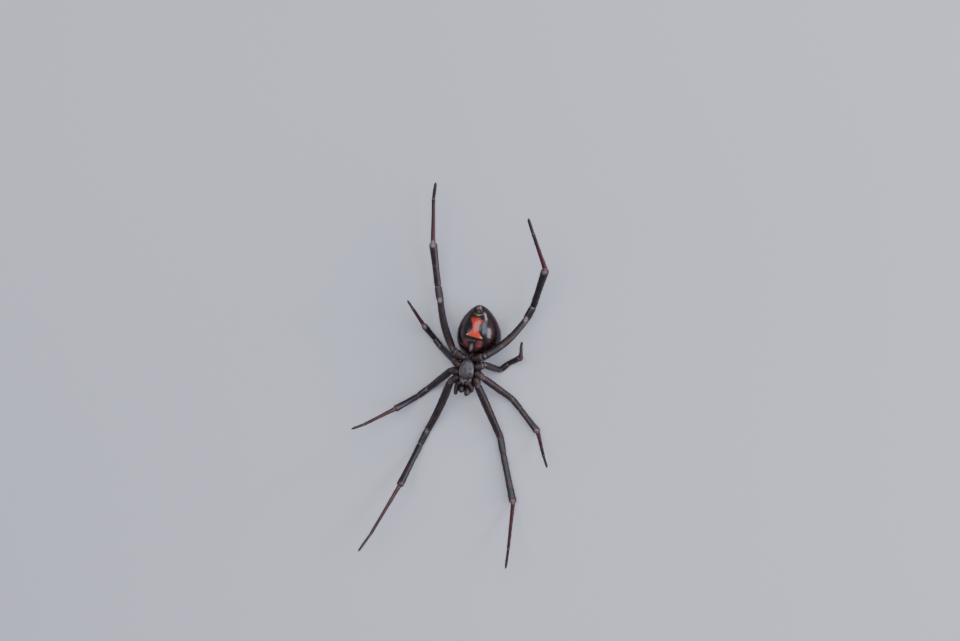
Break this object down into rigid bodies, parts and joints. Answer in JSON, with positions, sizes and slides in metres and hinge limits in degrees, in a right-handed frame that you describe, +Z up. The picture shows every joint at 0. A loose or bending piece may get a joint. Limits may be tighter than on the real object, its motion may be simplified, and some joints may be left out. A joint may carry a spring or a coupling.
{
  "type": "black widow spider",
  "caption": "Life-size still model of a female black widow spider, lying belly up with its legs spread, with a red hourglass under its round abdomen.",
  "frame": {"origin": "middle of the small flat on the back of the abdomen, on which the model rests on the floor", "axes": "+Z up, out of the belly; +X the animal's right; +Y towards its tail"},
  "size_m": [0.0229, 0.0439, 0.0087],
  "materials": {
    "abdomen": "smooth glossy black cuticle with a red hourglass on the belly",
    "cephalothorax": "hard dark grey-black cuticle, satin gloss",
    "leg": "glossy black cuticle with pale joint skin",
    "metatarsus": "dark reddish brown cuticle, darker to the tip",
    "mouth": "dark reddish brown cuticle",
    "fang": "polished dark brown",
    "spinneret": "greyish brown, matt, finely hairy",
    "eye": "polished black lens"
  },
  "bodies": {
    "root": {"abdomen": "abdomen", "spinnerets": "spinneret", "pedicel": "cephalothorax", "cephalothorax": "cephalothorax", "chelicera_left": "mouth", "fang_left": "fang", "pedipalp_left": "mouth", "chelicera_right": "mouth", "fang_right": "fang", "pedipalp_right": "mouth", "eye_anterior_median_left": "eye", "eye_anterior_median_right": "eye", "eye_anterior_lateral_left": "eye", "eye_anterior_lateral_right": "eye", "eye_posterior_median_left": "eye", "eye_posterior_median_right": "eye", "eye_posterior_lateral_left": "eye", "eye_posterior_lateral_right": "eye", "leg_1_left_coxa": "leg", "leg_1_left_femur": "leg", "leg_1_left_tibia": "leg", "leg_1_left_metatarsus": "metatarsus", "leg_1_right_coxa": "leg", "leg_1_right_femur": "leg", "leg_1_right_tibia": "leg", "leg_1_right_metatarsus": "metatarsus", "leg_2_left_coxa": "leg", "leg_2_left_femur": "leg", "leg_2_left_tibia": "leg", "leg_2_left_metatarsus": "metatarsus", "leg_2_right_coxa": "leg", "leg_2_right_femur": "leg", "leg_2_right_tibia": "leg", "leg_2_right_metatarsus": "metatarsus", "leg_3_left_coxa": "leg", "leg_3_left_femur": "leg", "leg_3_left_tibia": "leg", "leg_3_left_metatarsus": "metatarsus", "leg_3_right_coxa": "leg", "leg_3_right_femur": "leg", "leg_3_right_tibia": "leg", "leg_3_right_metatarsus": "metatarsus", "leg_4_left_coxa": "leg", "leg_4_left_femur": "leg", "leg_4_left_tibia": "leg", "leg_4_left_metatarsus": "metatarsus", "leg_4_right_coxa": "leg", "leg_4_right_femur": "leg", "leg_4_right_tibia": "leg", "leg_4_right_metatarsus": "metatarsus"}
  },
  "joints": []
}
